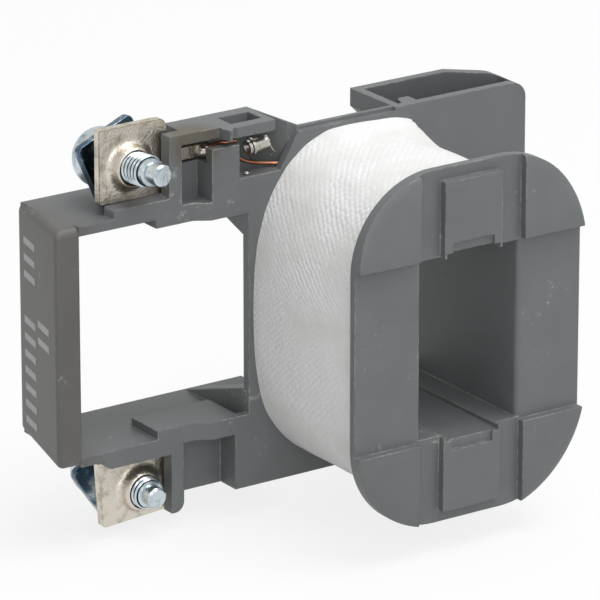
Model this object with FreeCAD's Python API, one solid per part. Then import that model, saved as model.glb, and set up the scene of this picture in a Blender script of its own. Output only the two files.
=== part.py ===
import FreeCAD, Part
import math
import os

# Replacement coil of a three-pole contactor: a moulded bobbin with a wound, taped body,
# and a shallow frame behind it that carries the two screw terminals.
# Millimetres. +X runs from the printed end of the frame to the bobbin, +Y along the coil
# axis away from the pads of the front flange, +Z up. The origin is the centre of the core
# opening, in the plane of those pads. The frame is alike above and below Z = 0.

# Front flange
flange_half_width = 17.35
flange_half_height = 23.5
flange_corner_radius = 12.1
flange_plate = 1.0
pad_rise = 1.1
pad_bevel_width = 1.3
pad_bevel_depth = 0.9
pad_ridge_radius = 21.0
pad_end_margin = 0.3
pad_inner_margin = 0.4
centre_pad_half_width = 4.4
centre_pad_top = 21.9
pad_notch_half_width = 3.2
pad_notch_height = 1.3
pad_notch_depth = 0.5

# Core opening and the tube around it
core_half_width = 7.6
core_half_height = 11.9
channel_half_width = 4.1
channel_depth = 0.6
tube_wall = 1.2
core_mouth_radius = 0.8

# Wound body
winding_length = 22.7
wound_half_width = 16.7
wound_half_height = 22.1
wound_squareness = 2.6
wound_slump = 0.55
wound_slump_deg = 40.0
tape_thickness = 0.6
tape_lap_thickness = 0.3
tape_lap_start_deg = 62.0
tape_lap_end_deg = 18.0

# Rear flange
rear_plate = 1.2
rear_left = -19.4
rear_right = 26.1
window_edge = -17.3
rear_step_height = 0.5
rear_corner_radius = 2.2
lead_cut_top_x = -8.7
lead_cut_foot_x = -12.4

# Cup behind the rear flange
cup_left = 5.4
cup_depth = 9.0
cup_slant_start = 20.1
cup_slant_depth = 5.2
cup_wall = 1.2
cup_left_drop = 2.4
cup_floor = 12.0
cup_rib_length = 2.2
cup_rib_width = 1.4

# Frame behind the rear flange
frame_depth = 13.8
bar_outer = 16.0
bar_inner = 14.75
bar_draft = 0.5
bar_right = -8.5
end_outer_front = -45.3
end_outer_back = -42.1
end_wall = 3.45
end_round = 1.2
end_front_round = 0.6

# Raised pads on the inner faces of the bars
step_left = -30.4
step_right = -18.6
step_rise = 1.15
step_depth = 6.2
jog_start = -24.9
jog_end = -22.9

# Gusset ribs between rear flange and bars
gusset_width = 2.6
gusset_height = 4.4

# Terminal seats, posts and walls
upper_seat_left = -36.6
lower_seat_left = -38.3
seat_rise = 1.15
seat_depth = 2.4
upper_seat_round = 0.3
lower_seat_round = 1.0
post_left = -28.35
post_width = 1.85
post_depth = 1.9
post_top = 25.25
post_round = 1.4
recess_floor = 15.95
recess_depth = 2.3
back_wall = 1.1
upper_ledge = 20.7
block_left = -22.7
block_right = -18.6
block_top = 22.9
block_wall = 1.4
roof_thickness = 1.4
roof_back = 5.3
roof_left = -25.8
roof_notch_left = -20.9
roof_notch_right = -18.9
roof_ear = 1.05
bridge_front = 0.1
roof_right = -13.2
roof_slope_end = -8.6
pocket_floor = 18.35
pocket_floor_thickness = 1.2
hole_left = -18.9
hole_right = -14.3
hole_front = 0.3
hole_length = 3.1

# Terminals
upper_collar_x = -32.8
upper_collar_z = 21.8
lower_collar_x = -31.9
lower_collar_z = -21.7
plate_width = 10.1
plate_height = 9.9
lower_plate_height = 9.0
plate_left = -37.25
upper_plate_top = 27.05
lower_plate_low = -26.05
lower_plate_roll_deg = 4.0
plate_thickness = 1.2
plate_corner = 0.5
plate_tab_corner = 1.2
plate_setback = 2.4
collar_radius = 3.0
collar_height = 1.7
collar_taper = 0.5
collar_bore = 4.6
collar_root_radius = 0.9
collar_lip_radius = 0.35
tail_height = 1.75
upper_tail_end = -20.9
lower_tail_end = -22.95
tail_joggle = 1.35

# Terminal screws, square clamp washers and spring washers
screw_diameter = 4.0
screw_length = 12.5
dog_diameter = 3.1
dog_length = 2.4
head_diameter = 7.8
head_height = 3.2
head_crown = 1.1
head_slot_width = 1.0
head_slot_depth = 1.2
upper_screw_tilt_deg = -4.6
upper_screw_lean_deg = 1.6
upper_screw_tip = 20.7
lower_screw_tip = 23.8
clamp_size = 9.0
clamp_thickness = 1.2
clamp_corner = 0.9
upper_clamp_turn_deg = -22.0
lower_clamp_turn_deg = -35.0
spring_thickness = 0.9
spring_outer = 6.4
spring_gap = 0.6
screw_clearance = 0.25

# Leads, solder and the small tinned pieces in the lead pocket
lead_diameter = 0.5
lead_hole_clearance = 0.15
lead_gap = 0.08
lead_back = 1.7
lead_hole_x = -9.8
lead_hole_z = 18.7
lead_slant = 1.8
solder_radius = 1.15
splice_diameter = 1.9
splice_length = 3.1
splice_ring = 0.15
splice_rise_deg = 6.0
splice_left = -16.4
splice_height = 21.6
tail_wire_diameter = 0.4
clip_height = 1.9
bead_radius = 0.4
bead_x = -17.0

# Places worked out from the sizes above
pad_end_height = core_half_height + pad_end_margin
pad_inner_x = core_half_width + pad_inner_margin
flange_back = pad_rise + flange_plate
rear_front = flange_back + winding_length
rear_back = rear_front + rear_plate
frame_front = rear_back
frame_back = frame_front + frame_depth
tube_half_width = core_half_width + tube_wall
tube_half_height = core_half_height + channel_depth + tube_wall
plate_front = frame_front + plate_setback
plate_back = plate_front + plate_thickness
wall_front = frame_front + recess_depth
roof_rear = frame_front + roof_back
step_inner = bar_inner - step_rise
cup_back = rear_back + cup_depth
lead_radius = lead_diameter / 2


def vec(x, y, z):
    return FreeCAD.Vector(x, y, z)


def box(x0, x1, y0, y1, z0, z1):
    corner = vec(min(x0, x1), min(y0, y1), min(z0, z1))
    return Part.makeBox(abs(x1 - x0), abs(y1 - y0), abs(z1 - z0), corner)


def prism(points, along):
    face = Part.Face(Part.makePolygon(points + points[:1]))
    return face.extrude(along)


def prism_xz(points, y0, y1):
    return prism([vec(x, y0, z) for x, z in points], vec(0, y1 - y0, 0))


def prism_xy(points, z0, z1):
    return prism([vec(x, y, z0) for x, y in points], vec(0, 0, z1 - z0))


def prism_yz(points, x0, x1):
    return prism([vec(x0, y, z) for y, z in points], vec(x1 - x0, 0, 0))


def rod_y(x, z, radius, y0, y1):
    return Part.makeCylinder(radius, y1 - y0, vec(x, y0, z), vec(0, 1, 0))


def fuse(solids):
    return solids[0].multiFuse(solids[1:]).removeSplitter()


def edges_where(shape, test):
    return [edge for edge in shape.Edges if not edge.Degenerated and test(edge)]


def mirrored(shape):
    return shape.mirror(vec(0, 0, 0), vec(0, 0, 1))


def rounded_plate(half_width, half_height, radius, y0, y1):
    """A plate across the coil axis with four round corners."""
    plate = box(-half_width, half_width, y0, y1, -half_height, half_height)
    corners = edges_where(plate, lambda e: abs(e.tangentAt(e.FirstParameter).y) > 0.99)
    return plate.makeFillet(radius, corners)


def wound_point(angle_deg, inset, y):
    """A point on the bulged outline of the wound body, at an angle from +X."""
    angle = math.radians(angle_deg)
    power = 2 / wound_squareness
    slump = math.cos(angle - math.radians(wound_slump_deg))
    inset += wound_slump * max(0, slump) ** 6
    across = math.copysign(abs(math.cos(angle)) ** power, math.cos(angle))
    up = math.copysign(abs(math.sin(angle)) ** power, math.sin(angle))
    return vec((wound_half_width - inset) * across, y, (wound_half_height - inset) * up)


def wound_arcs(inset, y, start_deg, end_deg, steps):
    """Arcs through the outline from one angle to another."""
    arcs = []
    span = (end_deg - start_deg) / steps
    for i in range(steps):
        first = start_deg + i * span
        ends = [wound_point(first + part * span, inset, y) for part in (0, 0.5, 1)]
        arcs.append(Part.Arc(*ends).toShape())
    return arcs


def wound_solid(inset, y0, y1):
    outline = Part.Wire(wound_arcs(inset, y0, 0, 360, 12))
    return Part.Face(outline).extrude(vec(0, y1 - y0, 0))


def core_tube(clearance, y0, y1):
    """The outer body of the tube that the wire is wound on."""
    half_w = tube_half_width + clearance
    half_h = tube_half_height + clearance
    return rounded_plate(half_w, half_h, tube_wall, y0, y1)


def core_opening(y0, y1):
    """The opening for the core leg, with a shallow channel above and below."""
    leg = box(-core_half_width, core_half_width, y0, y1, -core_half_height, core_half_height)
    deep = core_half_height + channel_depth
    return fuse([leg, box(-channel_half_width, channel_half_width, y0, y1, -deep, deep)])


def pad_bevel(side, way):
    """The crescent that slopes a corner pad down to the flange's round rim."""
    along = 1 / math.sqrt(2)
    corner_x = flange_half_width - flange_corner_radius
    corner_z = flange_half_height - flange_corner_radius
    shift = (flange_corner_radius - pad_bevel_width - pad_ridge_radius) * along
    wide = pad_ridge_radius + pad_bevel_width + 0.3
    cone = Part.makeCone(pad_ridge_radius, wide, pad_bevel_depth,
                         vec(side * (corner_x + shift), 0, way * (corner_z + shift)),
                         vec(0, 1, 0))
    corner = box(side * pad_inner_x, side * (flange_half_width + 1), 0, pad_bevel_depth,
                 way * pad_end_height, way * (flange_half_height + 1))
    return corner.cut(cone)


def front_flange():
    """Round-cornered plate with four corner pads and two centre pads."""
    blank = rounded_plate(flange_half_width, flange_half_height, flange_corner_radius,
                          0, flange_back)
    far = flange_half_width + 1
    cuts = []
    for side in (-1, 1):
        cuts.append(box(side * pad_inner_x, side * far, -1, pad_rise,
                        -pad_end_height, pad_end_height))
        cuts.append(box(side * centre_pad_half_width, side * pad_inner_x, -1, pad_rise,
                        -flange_half_height, flange_half_height))
        cuts.append(box(-centre_pad_half_width, centre_pad_half_width, -1, pad_rise,
                        side * centre_pad_top, side * (flange_half_height + 1)))
        cuts.extend([pad_bevel(side, 1), pad_bevel(side, -1)])
        low = core_half_height + channel_depth
        cuts.append(box(-pad_notch_half_width, pad_notch_half_width, -1, pad_notch_depth,
                        side * low, side * (low + pad_notch_height)))
    return blank.cut(cuts)


def right_corner(way):
    """What the round takes off the flange and cup at one right corner."""
    inner_x = rear_right - rear_corner_radius
    inner_z = way * (flange_half_height - rear_corner_radius)
    block = box(inner_x, rear_right + 1, rear_front - 1, cup_back + 1, inner_z,
                way * (flange_half_height + 1))
    return block.cut(rod_y(inner_x, inner_z, rear_corner_radius, rear_front - 2, cup_back + 2))


def rear_flange():
    """Wall behind the winding, open at the top left for the leads."""
    top = flange_half_height
    plate = box(rear_left, rear_right, rear_front, rear_back, -top, top)
    window = box(rear_left - 1, window_edge, rear_front - 1, rear_back + 1,
                 -step_inner, step_inner)
    lead_cut = prism_xz([(block_right, pocket_floor), (lead_cut_foot_x, pocket_floor),
                         (lead_cut_top_x, top + 1), (block_right, top + 1)],
                        rear_front - 1, rear_back + 1)
    block_cut = box(rear_left - 1, block_right, rear_front - 1, rear_back + 1,
                    block_top, top + 1)
    half = rear_plate / 2
    step = box(lead_cut_foot_x, cup_left, rear_front - 1, rear_front + half,
               top - rear_step_height, top + 1)
    return plate.cut([window, lead_cut, block_cut, step])


def cup_outline(inset):
    """Plan of the cup: square at the left, slanted at the back right."""
    left = cup_left + inset
    right = rear_right - inset
    back = cup_back - inset
    slant_y = cup_back - cup_slant_depth - inset * 0.4
    return [(left, rear_back), (left, back), (cup_slant_start - inset * 0.4, back),
            (right, slant_y), (right, rear_back)]


def cup():
    """Open-topped pocket behind the top right of the rear flange."""
    top = flange_half_height
    body = prism_xy(cup_outline(0), cup_floor, top)
    hollow = prism_xy(cup_outline(cup_wall), cup_floor + cup_wall, top + 1)
    slope_top = top - cup_left_drop
    run = slope_top - cup_floor
    under = prism_xz([(cup_left - 1, slope_top + 1), (cup_left - 1, cup_floor - 1),
                      (cup_left + run + 1, cup_floor - 1)], rear_back, cup_back + 1)
    reach = cup_wall * math.sqrt(2)
    ramp = prism_xz([(cup_left, slope_top), (cup_left + run, cup_floor),
                     (cup_left + run + reach, cup_floor), (cup_left, slope_top + reach)],
                    rear_back, cup_back)
    rib = box(cup_left + cup_wall, cup_left + cup_wall + cup_rib_length,
              rear_back + 0.8, rear_back + 0.8 + cup_rib_width, cup_floor + 8, top - 1.0)
    walls = fuse([body.cut(hollow), ramp, rib])
    return walls.cut(under)


def end_bar():
    """Slanted end of the frame, where the rating is printed on the real part."""
    slab = prism_xy([(end_outer_front, frame_front), (end_outer_front + end_wall, frame_front),
                     (end_outer_back + end_wall, frame_back), (end_outer_back, frame_back)],
                    -bar_outer, bar_outer)
    far = abs(end_outer_front) + 1
    draft = prism_yz([(frame_front, -bar_outer), (frame_front, bar_outer),
                      (frame_back, bar_outer - bar_draft), (frame_back, -bar_outer + bar_draft)],
                     -far, 0)
    slab = slab.common(draft)
    mid_x = (end_outer_front + end_outer_back) / 2 + 0.3

    def outer_long_edge(edge):
        centre = edge.CenterOfMass
        return edge.Length > frame_depth * 0.9 and centre.x < mid_x and abs(centre.z) > 10

    def outer_front_edge(edge):
        centre = edge.CenterOfMass
        return (abs(centre.z) < 0.01 and centre.x < end_outer_front + 0.01
                and centre.y < frame_front + 0.01)

    slab = slab.makeFillet(end_front_round, edges_where(slab, outer_front_edge))
    return slab.makeFillet(end_round, edges_where(slab, outer_long_edge))


def bar(seat_left, seat_round):
    """Upper long bar of the frame, with the step pad on its inner face."""
    beam = prism_yz([(frame_front, bar_inner), (frame_front, bar_outer),
                     (frame_back, bar_outer - bar_draft), (frame_back, bar_inner)],
                    end_outer_front + end_wall, bar_right)
    behind = frame_front + step_depth
    pad = prism_xy([(step_left, frame_front), (jog_start, frame_front), (jog_end, rear_front),
                    (window_edge, rear_front), (window_edge, frame_front),
                    (step_right, frame_front), (step_right, behind), (step_left, behind)],
                   step_inner, bar_inner)
    face = prism_xy([(post_left, frame_front), (jog_start, frame_front), (jog_end, rear_front),
                     (rear_left, rear_front), (rear_left, wall_front), (post_left, wall_front)],
                    step_inner, recess_floor)
    brace = prism_yz([(frame_front, bar_inner), (frame_back - 0.2, bar_inner),
                      (frame_front, bar_inner - gusset_height)],
                     window_edge, window_edge + gusset_width)
    seat = box(seat_left, post_left, frame_front, frame_front + seat_depth,
               bar_inner, bar_outer + seat_rise)
    heel = edges_where(seat, lambda e: e.CenterOfMass.x < seat_left + 0.01
                       and e.CenterOfMass.z > bar_outer + seat_rise - 0.01)
    seat = seat.makeFillet(seat_round, heel)
    return fuse([beam, pad, face, brace, seat])


def upper_block():
    """Post, recess, roof and lead pocket of the upper terminal."""
    post = box(post_left, post_left + post_width, frame_front, frame_front + post_depth,
               bar_inner, post_top)
    ledge = box(post_left + post_width, block_left, wall_front, wall_front + back_wall,
                bar_inner, upper_ledge)
    foot = box(block_left, block_right, rear_front, wall_front + back_wall,
               step_inner, upper_ledge)
    block = box(block_left, block_right, rear_front, rear_front + block_wall,
                step_inner, block_top)
    root = box(rear_left, block_right, rear_front, wall_front, step_inner, recess_floor)
    rear = box(roof_left, roof_right, roof_rear - cup_wall, roof_rear, bar_inner, post_top)
    roof = prism_xy([(post_left, frame_front), (roof_notch_left, frame_front),
                     (roof_notch_left + 0.3, rear_front - roof_ear),
                     (roof_notch_left + 0.8, rear_front - roof_ear + 0.2),
                     (roof_notch_right - 0.5, rear_front + 0.3),
                     (roof_notch_right, rear_front - bridge_front),
                     (roof_right, rear_front - bridge_front), (roof_right, roof_rear),
                     (roof_left, roof_rear), (roof_left, frame_front + post_depth),
                     (post_left, frame_front + post_depth)],
                    post_top - roof_thickness, post_top)
    opening = box(hole_left, hole_right, rear_back + hole_front,
                  rear_back + hole_front + hole_length, post_top - roof_thickness - 1,
                  post_top + 1)
    roof = roof.cut(opening)
    floor = prism_xy([(block_right, rear_front), (lead_cut_foot_x, rear_front),
                      (roof_slope_end, rear_back), (roof_right, roof_rear - cup_wall / 2),
                      (block_right, roof_rear - cup_wall / 2)],
                     pocket_floor - pocket_floor_thickness, pocket_floor)
    slant = prism_xy([(roof_right, roof_rear), (roof_slope_end, rear_back),
                      (roof_slope_end - cup_wall * 1.6, rear_back),
                      (roof_right - 0.3, roof_rear - cup_wall * 1.2)],
                     bar_inner, post_top)
    slope = prism_xz([(roof_right, post_top), (roof_slope_end, flange_half_height - 0.2),
                      (roof_slope_end + 1, flange_half_height - 0.2),
                      (roof_slope_end + 1, post_top + 1), (roof_right, post_top + 1)],
                     rear_back - 1, roof_rear + 1)
    return fuse([post, ledge, foot, block, root, rear, roof, floor, slant.cut(slope)])


def lower_block():
    """Leg, recess wall and end wall of the lower terminal, built below the bar."""
    leg = box(post_left, post_left + post_width, frame_front, frame_front + post_depth,
              -post_top, -bar_inner)
    toe = edges_where(leg, lambda e: e.CenterOfMass.z < -post_top + 0.01
                      and e.CenterOfMass.x > post_left + post_width - 0.01)
    leg = leg.makeFillet(post_round, toe)
    top = flange_half_height
    wall = box(post_left + post_width - 0.4, block_right, wall_front, wall_front + back_wall,
               -top, -bar_inner)
    end = box(rear_left, block_right, rear_front, wall_front + back_wall, -top, -step_inner)
    join = box(post_left, post_left + post_width, frame_front, wall_front + back_wall,
               -recess_floor - 0.2, -bar_inner)
    return fuse([leg, wall, end, join])


def bobbin_frame():
    """The whole grey moulding: bobbin, frame, cup and terminal seats."""
    tube = core_tube(0, pad_rise, rear_back)
    upper_bar = bar(upper_seat_left, upper_seat_round)
    lower_bar = mirrored(bar(lower_seat_left, lower_seat_round))
    body = fuse([front_flange(), tube, rear_flange(), cup(), end_bar(), upper_bar, lower_bar,
                 upper_block(), lower_block()])
    cuts = [core_opening(-1, rear_back + 1), right_corner(1), right_corner(-1)]
    hole = lead_radius + lead_hole_clearance
    for side in (-1, 1):
        mouth = vec(lead_hole_x, rear_front, side * lead_hole_z)
        along = vec(-lead_slant, lead_slant, 0)
        cuts.append(Part.makeCylinder(hole, along.Length * 1.6, mouth - along * 0.3, along))
    body = body.cut(cuts)

    def mouth_edge(edge):
        centre = edge.CenterOfMass
        upright = abs(edge.tangentAt(edge.FirstParameter).z) > 0.99
        near = abs(centre.x - core_half_width) < 0.01 and abs(centre.y - pad_rise) < 0.01
        return upright and near

    return body.makeFillet(core_mouth_radius, edges_where(body, mouth_edge))


def copper_winding():
    """All the turns of magnet wire as one body."""
    turns = wound_solid(tape_thickness, flange_back, rear_front)
    return turns.cut(core_tube(0, flange_back - 1, rear_front + 1))


def outer_tape():
    """White cloth tape around the winding; its end laps over the top right."""
    wrap = wound_solid(0, flange_back, rear_front)
    start = tape_lap_start_deg
    end = tape_lap_end_deg
    outer = wound_arcs(-tape_lap_thickness, flange_back, start, end, 3)
    inner = wound_arcs(0, flange_back, end, start, 3)
    first = Part.makeLine(wound_point(end, -tape_lap_thickness, flange_back),
                          wound_point(end, 0, flange_back))
    last = Part.makeLine(wound_point(start, 0, flange_back),
                         wound_point(start, -tape_lap_thickness, flange_back))
    lap = Part.Face(Part.Wire(outer + [first] + inner + [last]))
    wrap = fuse([wrap, lap.extrude(vec(0, rear_front - flange_back, 0))])
    return wrap.cut(wound_solid(tape_thickness, flange_back - 1, rear_front + 1))


def plate_blank(z0, z1):
    """Flat nickel plate whose top right corner is rounder than the others."""
    right = plate_left + plate_width
    plate = box(plate_left, right, plate_front, plate_back, z0, z1)

    def at_tab(edge):
        centre = edge.CenterOfMass
        return centre.x > right - 0.01 and centre.z > z1 - 0.01

    def through(edge):
        return abs(edge.tangentAt(edge.FirstParameter).y) > 0.99

    plate = plate.makeFillet(plate_tab_corner, edges_where(plate, lambda e: through(e) and at_tab(e)))
    plain = edges_where(plate, lambda e: through(e) and e.CenterOfMass.x < plate_left + 0.01)
    return plate.makeFillet(plate_corner, plain)


def terminal_plate(blank, x, z, joggle, tail_end):
    """Plate with a drawn collar for the screw and a solder tail set back by the joggle."""
    collar = Part.makeCone(collar_radius, collar_radius - collar_taper, collar_height,
                           vec(x, plate_front, z), vec(0, -1, 0))
    root = plate_left + plate_width - 0.6
    back = plate_front + joggle
    low = z - tail_height / 2
    high = z + tail_height / 2
    tail = prism_xy([(root - 0.6, plate_front), (root + 0.3, plate_front), (root + 0.9, back),
                     (tail_end, back), (tail_end, back + plate_thickness),
                     (root + 0.4, back + plate_thickness), (root - 0.6, plate_back)], low, high)
    body = fuse([blank, collar])

    def ring_at(radius, y):
        return edges_where(body, lambda e: abs(e.BoundBox.XLength - 2 * radius) < 0.01
                           and abs(e.CenterOfMass.y - y) < 0.01)

    body = body.makeFillet(collar_root_radius, ring_at(collar_radius, plate_front))
    lip_y = plate_front - collar_height
    body = body.makeChamfer(collar_lip_radius, ring_at(collar_radius - collar_taper, lip_y))
    body = fuse([body, tail])
    bore = collar_bore / 2
    return body.cut(rod_y(x, z, bore, plate_front - collar_height - 1, plate_back + 1))


def screw(tip_y):
    """Pan-head terminal screw with a plain dog point, along +Y from its tip."""
    shank = screw_length - dog_length
    radius = screw_diameter / 2
    dog = Part.makeCylinder(dog_diameter / 2, dog_length, vec(0, tip_y, 0), vec(0, 1, 0))
    body = rod_y(0, 0, radius, tip_y + dog_length, tip_y + dog_length + shank)
    rim = edges_where(body, lambda e: e.BoundBox.YMax < tip_y + dog_length + 0.01)
    body = body.makeChamfer(0.4, rim)
    under = tip_y + screw_length
    head = rod_y(0, 0, head_diameter / 2, under, under + head_height)
    crown = edges_where(head, lambda e: e.BoundBox.YMin > under + head_height - 0.01)
    head = head.makeChamfer(head_crown, crown)
    slot = box(-head_slot_width / 2, head_slot_width / 2, under + head_height - head_slot_depth,
               under + head_height + 1, -head_diameter, head_diameter)
    cross = box(-head_diameter * 0.28, head_diameter * 0.28,
                under + head_height - head_slot_depth, under + head_height + 1,
                -head_slot_width / 2, head_slot_width / 2)
    return fuse([dog, body, head]).cut([slot, cross])


def spring_washer(under_y):
    """Split spring washer just in front of the screw head."""
    ring = rod_y(0, 0, spring_outer / 2, under_y - spring_thickness, under_y)
    hole = rod_y(0, 0, screw_diameter / 2 + screw_clearance / 2,
                 under_y - spring_thickness - 1, under_y + 1)
    split = box(-spring_gap / 2, spring_gap / 2, under_y - spring_thickness - 1, under_y + 1,
                0, spring_outer)
    split.rotate(vec(0, 0, 0), vec(0, 1, 0), -60)
    return ring.cut([hole, split])


def clamp_washer(back_y, turn_deg):
    """Square clamp washer with rounded corners, turned about the screw."""
    half = clamp_size / 2
    front_y = back_y - clamp_thickness
    plate = rounded_plate(half, half, clamp_corner, front_y, back_y)
    plate.rotate(vec(0, 0, 0), vec(0, 1, 0), turn_deg)
    return plate.cut(rod_y(0, 0, screw_diameter / 2 + screw_clearance, front_y - 1, back_y + 1))


def placed(shape, x, z, tilt_deg, lean_deg):
    """Tips a screw piece about the middle of its collar and moves it to its terminal."""
    shape = shape.copy()
    middle = vec(0, (plate_back + plate_front - collar_height) / 2, 0)
    shape.rotate(middle, vec(1, 0, 0), tilt_deg)
    shape.rotate(middle, vec(0, 0, 1), lean_deg)
    shape.translate(vec(x, 0, z))
    return shape


def wire(points, diameter):
    """A round wire bent along straight runs."""
    spine = Part.makePolygon(points)
    ring = Part.makeCircle(diameter / 2, points[0], points[1] - points[0])
    return spine.makePipeShell([Part.Wire([ring])], True, False, 1)


def start_lead():
    """Magnet wire from the winding, through the pocket and over the block to the tail."""
    over = block_top + lead_radius + lead_gap
    low = pocket_floor + lead_radius + lead_gap
    back = rear_back + lead_back
    left = block_right + lead_gap * 12
    return wire([vec(lead_hole_x - lead_radius, rear_front + lead_radius, lead_hole_z),
                 vec(lead_hole_x - lead_slant, rear_front + lead_slant, lead_hole_z),
                 vec((lead_hole_x + left) / 2, back - lead_back / 3, low + 0.2),
                 vec(left + 1.4, back, low + 0.8), vec(left + 0.3, back, low + 2.0),
                 vec(left - 0.5, rear_back - 0.1, over),
                 vec(block_right - 1.4, rear_front + block_wall / 2, over),
                 vec((block_left + block_right) / 2, rear_front + block_wall, over),
                 vec(upper_tail_end - 0.5, plate_front - lead_radius - lead_gap,
                     upper_collar_z + 0.5)],
                lead_diameter)


def finish_lead():
    """Magnet wire from the winding to the tail of the lower terminal, behind the wall."""
    tail_y = plate_front + tail_joggle + plate_thickness + lead_radius + lead_gap
    halfway = (lead_hole_x + block_right) / 2
    return wire([vec(lead_hole_x - lead_radius, rear_front + lead_radius, -lead_hole_z),
                 vec(lead_hole_x - lead_slant, rear_front + lead_slant, -lead_hole_z),
                 vec(halfway, tail_y - 3.3, -lead_hole_z - 0.5),
                 vec(block_right + 1.6, tail_y - 0.9, -lead_hole_z - 1.5),
                 vec(block_right - 1.4, tail_y, lower_collar_z),
                 vec(lower_tail_end - 0.3, tail_y, lower_collar_z)],
                lead_diameter)


def solder_joint(centre, others):
    """Drop of solder that wraps a tail's end and the lead soldered to it."""
    half = solder_radius
    front = Part.makeCone(half, half * 0.45, half, centre, vec(0, -1, 0))
    back = Part.makeCone(half, half * 0.45, half, centre, vec(0, 1, 0))
    return fuse([front, back]).cut(others)


def lead_splice():
    """Crimped tinned ferrule that lies across the lead pocket."""
    start = vec(splice_left, rear_back + 0.5, splice_height)
    angle = math.radians(splice_rise_deg)
    along = vec(math.cos(angle), 0, math.sin(angle))
    barrel = Part.makeCylinder(splice_diameter / 2, splice_length, start, along)
    ring = Part.makeCylinder(splice_diameter / 2 + splice_ring, 0.35, start + along * 0.6, along)
    mouth = Part.makeCone(splice_diameter / 2 - 0.25, 0.2, 0.5, start - along * 0.001, along)
    return fuse([barrel, ring]).cut(mouth), start + along * splice_length, along


def splice_tail(end, along):
    """Clipped wire that leaves the ferrule and rests over the pocket floor."""
    out = end + along * 0.4
    low = pocket_floor + clip_height
    return wire([end, out, vec(out.x + 0.1, out.y, low + 0.5), vec(out.x + 1.1, out.y, low)],
                tail_wire_diameter)


def solder_bead():
    """Stray drop of solder on the floor of the lead pocket."""
    foot = vec(bead_x, rear_back - 0.3, pocket_floor)
    return Part.makeCone(bead_radius, bead_radius * 0.45, bead_radius * 1.3, foot, vec(0, 0, 1))


def build():
    parts = {}
    parts["bobbin_frame"] = bobbin_frame()
    parts["copper_winding"] = copper_winding()
    parts["outer_tape"] = outer_tape()
    upper = (upper_collar_x, upper_collar_z)
    lower = (lower_collar_x, lower_collar_z)
    upper_blank = plate_blank(upper_plate_top - plate_height, upper_plate_top)
    lower_blank = plate_blank(lower_plate_low, lower_plate_low + lower_plate_height)
    lower_blank.rotate(vec(plate_left, 0, lower_plate_low), vec(0, 1, 0), -lower_plate_roll_deg)
    parts["upper_terminal_plate"] = terminal_plate(upper_blank, upper[0], upper[1], 0,
                                                   upper_tail_end)
    parts["lower_terminal_plate"] = terminal_plate(lower_blank, lower[0], lower[1], tail_joggle,
                                                   lower_tail_end)
    for name, place, tip, tilt, lean, turn in (
            ("upper", upper, upper_screw_tip, upper_screw_tilt_deg, upper_screw_lean_deg,
             upper_clamp_turn_deg),
            ("lower", lower, lower_screw_tip, 0, 0, lower_clamp_turn_deg)):
        under = tip + screw_length
        spring_face = under - spring_thickness
        parts[name + "_terminal_screw"] = placed(screw(tip), place[0], place[1],
                                                    tilt, lean)
        parts[name + "_spring_washer"] = placed(spring_washer(under), place[0], place[1],
                                                    tilt, lean)
        parts[name + "_clamp_washer"] = placed(clamp_washer(spring_face, turn), place[0],
                                                   place[1], tilt, lean)
    parts["start_lead"] = start_lead()
    parts["finish_lead"] = finish_lead()
    upper_joint = vec(upper_tail_end - solder_radius * 0.6, plate_front, upper[1])
    lower_joint = vec(lower_tail_end - 0.45, plate_front + tail_joggle + plate_thickness, lower[1])
    parts["upper_solder_joint"] = solder_joint(upper_joint, [
        parts["bobbin_frame"], parts["upper_terminal_plate"], parts["start_lead"]])
    parts["lower_solder_joint"] = solder_joint(lower_joint, [
        parts["bobbin_frame"], parts["lower_terminal_plate"], parts["finish_lead"]])
    ferrule, ferrule_end, along = lead_splice()
    parts["lead_splice"] = ferrule
    parts["splice_tail"] = splice_tail(ferrule_end, along)
    parts["solder_bead"] = solder_bead()
    return parts


os.makedirs("parts", exist_ok=True)
for node, shape in build().items():
    shape.exportStep(os.path.join("parts", node + ".step"))
    print(node, len(shape.Solids), shape.isValid(), round(shape.Volume, 2))
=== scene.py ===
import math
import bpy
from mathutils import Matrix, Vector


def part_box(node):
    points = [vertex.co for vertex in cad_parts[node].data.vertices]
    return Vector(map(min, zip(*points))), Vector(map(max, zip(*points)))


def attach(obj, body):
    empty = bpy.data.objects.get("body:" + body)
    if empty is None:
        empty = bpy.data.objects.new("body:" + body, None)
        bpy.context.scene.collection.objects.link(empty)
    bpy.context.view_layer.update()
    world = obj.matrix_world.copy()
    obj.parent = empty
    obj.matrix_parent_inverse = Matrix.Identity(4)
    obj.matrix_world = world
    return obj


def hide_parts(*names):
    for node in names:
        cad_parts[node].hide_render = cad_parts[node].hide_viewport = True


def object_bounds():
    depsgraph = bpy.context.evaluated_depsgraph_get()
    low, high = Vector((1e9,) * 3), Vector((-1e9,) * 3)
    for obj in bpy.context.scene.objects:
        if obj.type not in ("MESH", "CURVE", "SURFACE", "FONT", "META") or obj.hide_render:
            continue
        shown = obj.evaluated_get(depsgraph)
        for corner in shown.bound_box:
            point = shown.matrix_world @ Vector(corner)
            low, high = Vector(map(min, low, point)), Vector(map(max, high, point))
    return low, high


bl_info = {
    "name": "Contactor coil",
    "version": (1, 0, 0),
    "blender": (4, 5, 0),
    "location": "View3D > Sidebar > Coil",
    "description": "Dresses the packed contactor coil with its finishes, threads, tape and wires",
    "category": "Object",
}

from collections import namedtuple

import bmesh
import bpy
from bpy.props import FloatProperty, FloatVectorProperty, PointerProperty
from mathutils import Matrix, Vector, noise

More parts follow.
